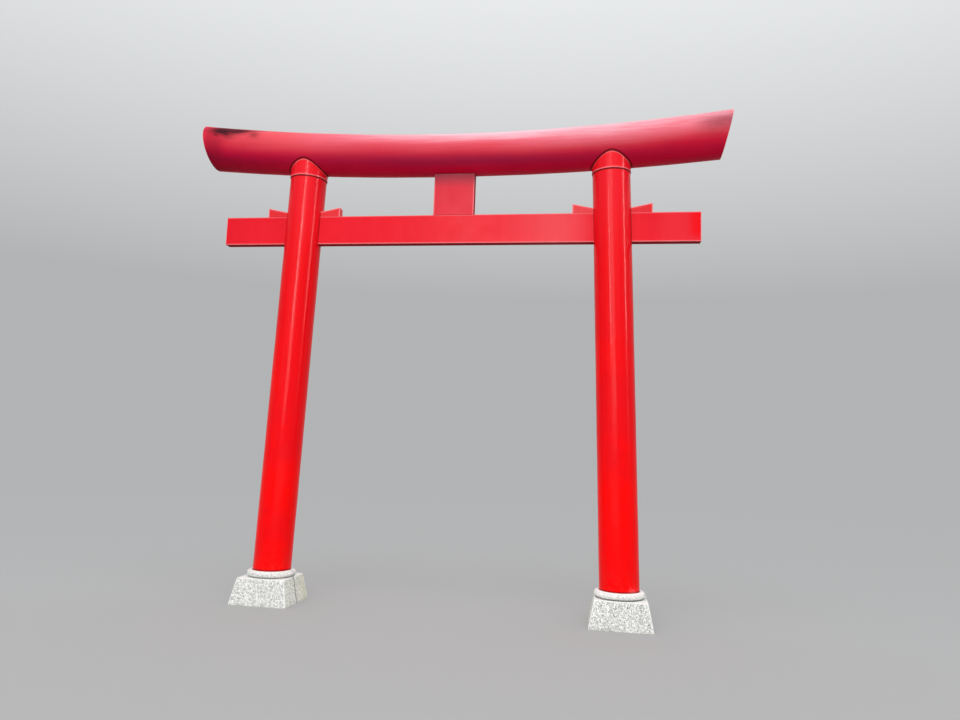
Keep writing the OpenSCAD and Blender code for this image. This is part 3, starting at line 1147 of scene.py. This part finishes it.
def paint_material(name, chalked=False, height_shade=0.0):
    """Gloss enamel: mottled, streaked by rain, dusty on top, pale along edges from thin paint and a painted
    highlight, with painted shade in creases.

    A chalked paint has faded, and is painted pale with a sky sheen, as far as its piece is marked. The
    last argument is how much more of the deepest tone there is with each metre of height: painted shade.
    """
    base, deep, worn, gloss, shine = PAINTS[name]
    g = Graph(bpy.data.materials.new(name))
    x, _, height = g.axes(g.where)
    cloud = g.noise(7.0, 4.0)
    rain = g.noise(15.0, 3.0, 0.5, stretch=(1, 1, 0.06))
    # Real mottling, and a deeper tone higher up: painted shade on the upper posts
    mottle_and_height_shade = g.plus(g.noise(1.3, 4.0), g.times(g.less(height, 1.5), height_shade))
    along = g.mark("along")
    is_post = g.math("GREATER_THAN", along, 0.05)
    color = g.coats(
        base,
        (g.span(mottle_and_height_shade, 0.38, 0.66), deep),
        (g.span(rain, 0.50, 0.72, 0.0, 0.22), worn),
        (g.span(cloud, 0.35, 0.70, 0.0, 0.16), deep),
        # Painted sheen on the beam and the wedges
        (g.mark("pale"), SHEEN_PALE),
        # Painted sheen on the upper posts
        (g.times(is_post, g.span(height, 3.3, 4.4, 0.0, 0.034)), TOP_SHEEN),
        (g.mark("fresh"), END_RED),
    )
    rough = [gloss, g.span(cloud, 0.3, 0.7, 0.0, 0.08)]

    if chalked:
        streak = g.noise(45.0, 4.0, 0.6, stretch=(0.05, 1, 1))
        # Chalk together with a painted sky sheen on the rail's upper side
        faded = g.times(g.mark("chalk_and_sheen"), g.span(streak, 0.3, 0.7, 0.88, 1.05))
        pinker = g.times(g.span(x, -2.2, -1.2), g.span(faded, 0.08, 0.50, 0.15, 1.0))
        # Painted shadow on the rail round the top of each sleeve
        by_sleeve = g.span(outside_sleeve(g), 0.010, 0.024, 0.85, 0.0)
        shade_by_saddle = g.times(by_sleeve, g.span(height, RAIL_Z - 0.04, RAIL_Z, 1.0, 0.0))
        color = g.coats(
            color,
            # Painted shade along the rail's lower flanks
            (g.mark("deep"), RAIL_FLANK_SHADE),
            (g.math("DIVIDE", faded, 0.72, clamp=True), g.mix(pinker, CHALK_SHEEN_WARM, CHALK_SHEEN_PINK)),
            (g.span(faded, 0.58, 1.10), CHALK_SHEEN_PALE),
            (shade_by_saddle, CREASE_SHADOW),
        )
        rough += [g.times(g.mark("chalk_and_sheen"), 0.12), g.times(shade_by_saddle, 0.3)]
    else:
        _, _, up = g.facing()
        flat = g.span(up, 0.55, 0.98)
        color = g.mix(g.times(flat, g.span(cloud, 0.30, 0.65, 0.10, 0.42)), color, DUST)
        rough.append(g.times(flat, 0.55))

    thin = g.span(g.noise(150.0, 2.0), 0.30, 0.65, 0.70, 1.0)
    # Painted shadow on each post just below its sleeve's lip
    below_lip = g.less(SLEEVE_LIP, along)
    under_sleeve = g.times(is_post, g.math("GREATER_THAN", below_lip, 0.0))
    line = g.times(under_sleeve, g.span(below_lip, 0.008, 0.020, 0.92, 0.0))
    # Painted shade at the foot of each post, just above its ring stone
    shade_at_foot = g.span(height, RING_TOP + 0.008, RING_TOP + 0.020, 0.80, 0.0)
    mud = g.span(g.noise(26.0, 5.0, 0.7), 0.42, 0.72, 0.0, 0.18)
    ragged = g.span(g.noise(45.0, 4.0, 0.6), 0.3, 0.7, -0.02, 0.02)
    patchy = g.span(g.noise(14.0, 5.0, 0.70, stretch=(0.5, 1, 1)), 0.22, 0.55, 0.62, 1.0)
    # Real soot together with painted shade on the rail's flank and left end
    soot_and_shade = g.times(g.mark("soot_and_shade"), patchy)
    color = g.coats(
        color,
        # Pale edges: thin paint together with a painted highlight
        (g.times(g.mark("edge"), thin), EDGE_PALE),
        (g.times(g.mark("shade"), 0.80), SHADE),
        (line, CREASE_SHADOW),
        (g.times(shade_at_foot, is_post), CREASE_SHADOW),
        (g.times(g.span(height, 0.34, 0.70, 1.0, 0.0), mud), SPLASH_MUD),
        (g.span(g.plus(g.distance(PALE_PATCH_AT), ragged), 0.0, 0.070, 0.26, 0.0), EDGE_PALE),
        (soot_and_shade, SOOT_AND_SHADE),
    )
    rough = g.plus(*rough, g.times(line, 0.7), g.times(soot_and_shade, 0.4))
    normal = g.bumps((g.noise(26.0, 2.0), 0.0006), (g.noise(170.0, 2.0), 0.00010))
    return g.surface(color, rough, shine, Normal=normal)


def crystals(g):
    """The plain grey of each crystal of the granite."""
    ramp = g.add("ShaderNodeValToRGB", {0: g.axes(g.cells(190.0)["Color"])[0]})
    ramp.color_ramp.interpolation = "CONSTANT"
    stops = ramp.color_ramp.elements
    for k, (at, tone) in enumerate(CRYSTAL_TONES):
        stop = stops[k] if k < 2 else stops.new(at)
        stop.position = at
        stop.color = (*tone, 1)
    return ramp.outputs[0]


def granite_material():
    """Bush-hammered pale granite: crystals of a few millimetres, paler where struck and on worn arrises,
    with painted light on tops and end faces and painted shadow under the ring stones.
    """
    g = Graph(bpy.data.materials.new("bush_hammered_granite"))
    x, y, height = g.axes(g.where)
    normal_x, _, up = g.facing()
    clump = g.noise(135.0, 1.0)
    clouded = g.mix(g.span(clump, 0.35, 0.62), (0.84, 0.84, 0.85), (0.99, 0.99, 0.98))
    flecks = g.cells(78.0, g.bent(210.0, 0.024))
    fleck_tone = g.mix(g.axes(flecks["Color"])[2], (0.01, 0.01, 0.01), (0.26, 0.26, 0.25))
    flecked = g.mix(g.span(flecks["Distance"], 0.18, 0.54), fleck_tone, (1.06, 1.06, 1.05))
    color = g.mix(1.0, crystals(g), clouded, "MULTIPLY")
    color = g.mix(1.0, color, flecked, "MULTIPLY")

    runs = g.span(g.noise(34.0, 4.0, 0.6, stretch=(1, 1, 0.10)), 0.45, 0.70, 0.0, 0.30)
    color = g.mix(g.times(runs, g.span(up, 0.35, 0.70, 1.0, 0.0)), color, RAIN_STAIN)
    on_end = g.span(g.math("ABSOLUTE", normal_x), 0.75, 0.97)
    # Faces that look along the gate are brightened: painted light
    color = g.mix(on_end, color, END_FACE_LIGHT, "MULTIPLY")
    ring = g.mark("ring")
    right = g.span(x, -1.4, 1.4)
    # Painted shadow on the foot under the round nose of each ring stone
    shadow_under_ring = g.times(ring, g.span(height, FOOT_H + 0.005, FOOT_H + 0.021, 0.80, 0.0))
    grime = g.span(g.noise(22.0, 4.0), 0.35, 0.65, 0.1, 0.6)
    color = g.coats(
        color,
        (g.times(on_end, g.span(y, 0.05, 0.22, 0.0, 0.50)), DAMP_STAIN),
        # Top faces paler: painted light from above
        (g.span(up, 0.75, 0.97, 0.0, 0.50), TOP_LIGHT),
        (g.times(g.mark("edge"), 0.75), WORN_ARRIS),
        (g.times(g.mark("joint"), 0.80), JOINT_DIRT),
        # Ring stones paler on the right: painted light
        (g.times(ring, g.span(x, -1.4, 1.4, 0.36, 0.30)), g.mix(right, LEFT_RING, RIGHT_RING)),
        (g.times(shadow_under_ring, g.span(x, -1.4, 1.4, 0.55, 1.0)), UNDER_RING_SHADOW),
        # Darker near the ground: dirt together with painted contact shade
        (g.times(g.span(height, 0.0, 0.035, 1.0, 0.0), grime), GROUND_DIRT_AND_SHADE),
    )
    pits = g.cells(120.0)["Distance"]
    normal = g.bumps((g.noise(80.0, 3.0), 0.0016), (pits, 0.0016), (g.noise(420.0, 2.0), 0.0004))
    return g.surface(color, g.span(clump, 0.3, 0.7, 0.74, 0.90), STONE_SHINE, Normal=normal)


def plain_coat(name, base, other, roughness, scale, reach):
    """Mortar, sealant or old primer: two tones in clumps, with a rough face."""
    g = Graph(bpy.data.materials.new(name))
    clump = g.noise(scale, 4.0, 0.6)
    color = g.mix(g.span(clump, 0.35, 0.65), base, other)
    rough = g.span(clump, 0.3, 0.7, roughness - 0.08, roughness + 0.05)
    normal = g.bumps((g.noise(4 * scale, 3.0), reach))
    return g.surface(color, rough, STONE_SHINE, Normal=normal)


# Stage, light and camera


def make_floor():
    """Pale floor. It looks pale to the eye and in gloss, and gives back less light than that."""
    mesh = bpy.data.meshes.new("studio_floor")
    rim = [(FLOOR_R * math.cos(a), FLOOR_R * math.sin(a), 0.0) for a in full_turn(FLOOR_SIDES)]
    mesh.from_pydata(rim, [], [list(range(len(rim)))])
    g = Graph(bpy.data.materials.new("studio_floor"))
    rays = g.add("ShaderNodeLightPath").outputs
    seen = g.math("MAXIMUM", rays["Is Camera Ray"], rays["Is Glossy Ray"])
    seen = g.math("MAXIMUM", seen, rays["Is Transmission Ray"])
    mesh.materials.append(g.surface(g.mix(seen, FLOOR_BOUNCE, FLOOR_PALE), 0.9, 0.1))
    floor = link("studio_floor", mesh)


def make_world():
    """Soft daylight: brighter overhead than at the horizon, with a glow high in front."""
    world = bpy.data.worlds.new("soft_day")
    bpy.context.scene.world = world
    g = Graph(world, "Generated")
    _, y, z = g.axes(g.where)
    level = g.span(z, 0.20, 1.0, SKY_LOW, SKY_HIGH, "LINEAR")
    glow = g.times(g.span(y, -0.98, -0.60, SKY_FRONT, 0.0), g.span(z, 0.04, 0.32))
    g.fill(g.tree.nodes["Background"], {"Strength": g.plus(level, glow), "Color": SKY_TINT})


def all_but_floor():
    """A receiver collection for lights that would leave a pool on the floor."""
    group = bpy.data.collections.new("all_but_floor")
    group.objects.link(bpy.data.objects["studio_floor"])
    group.collection_objects[0].light_linking.link_state = "EXCLUDE"
    return group


def make_lights():
    """The soft panels of light in PANELS."""
    gate = all_but_floor()
    for name, at, aim, width, height, radiance, in_gloss, in_diffuse, on_floor in PANELS:
        light = bpy.data.lights.new(name, "AREA")
        light.shape = "RECTANGLE"
        light.size = width
        light.size_y = height
        light.energy = radiance * math.pi * width * height
        obj = link(name, light)
        obj.location = at
        obj.rotation_mode = "QUATERNION"
        obj.rotation_quaternion = (Vector(at) - Vector(aim)).to_track_quat("Z", "Y")
        obj.visible_camera = False
        obj.visible_glossy = in_gloss
        obj.visible_diffuse = in_diffuse
        if not on_floor:
            obj.light_linking.receiver_collection = gate


def make_camera():
    data = bpy.data.cameras.new("photo_view")
    data.sensor_fit = "HORIZONTAL"
    data.sensor_width = SENSOR_WIDTH
    data.lens = CAMERA_LENS
    data.clip_start = 0.1
    data.clip_end = 300.0
    camera = link("photo_view", data)
    bearing = Matrix.Rotation(-CAMERA_YAW, 4, "Z")
    tilt = Matrix.Rotation(math.pi / 2 + CAMERA_PITCH, 4, "X")
    roll = Matrix.Rotation(CAMERA_ROLL, 4, "Z")
    camera.matrix_world = Matrix.Translation(CAMERA_AT) @ bearing @ tilt @ roll
    bpy.context.scene.camera = camera


def main():
    for obj in list(bpy.data.objects):
        bpy.data.objects.remove(obj)
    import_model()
    bpy.context.scene.view_settings.view_transform = "Standard"
    make_camera()
    make_floor()
    make_world()
    make_lights()

    post_paint = paint_material("post_paint", height_shade=0.10)
    beam_paint = paint_material("beam_paint")
    beam_underside_shaded = paint_material("beam_underside_shaded")
    wedge_paint = paint_material("wedge_paint")
    rail_paint = paint_material("rail_paint", chalked=True)
    strut_paint = paint_material("strut_paint")
    strut_side_shaded = paint_material("strut_side_shaded")
    weld_and_crease_shade = paint_material("weld_and_crease_shade")
    lip_shadow = paint_material("lip_shadow")
    granite = granite_material()
    mortar = plain_coat("joint_mortar", (0.10, 0.10, 0.09), (0.16, 0.155, 0.14), 0.9, 60.0, 0.0008)
    # The sealant's dark red also stands in for the shade in the crease at each post's foot
    sealant = plain_coat("joint_sealant", (0.22, 0.025, 0.030), (0.36, 0.075, 0.080), 0.6, 50.0, 0.0003)
    old_steel = plain_coat("inside_of_pipe", (0.12, 0.045, 0.028), (0.22, 0.10, 0.06), 0.85, 14.0, 0.0006)

    make_rail(rail_paint)
    make_beam((beam_paint, beam_underside_shaded))
    make_strut((strut_paint, strut_side_shaded))
    make_strut_welds(weld_and_crease_shade)
    for side in (LEFT, RIGHT):
        make_post(side, post_paint, old_steel)
        make_sleeve(side, post_paint, lip_shadow)
        make_rail_cap(side, rail_paint)
        make_welds(side, weld_and_crease_shade)
        for way in (-1, 1):
            make_wedge(side, way, wedge_paint)
        for face in (FRONT, BACK):
            make_foot_half(side, face, granite)
            make_ring_half(side, face, granite)
        make_pointing(side, mortar)
        make_seal(side, sealant)


main()
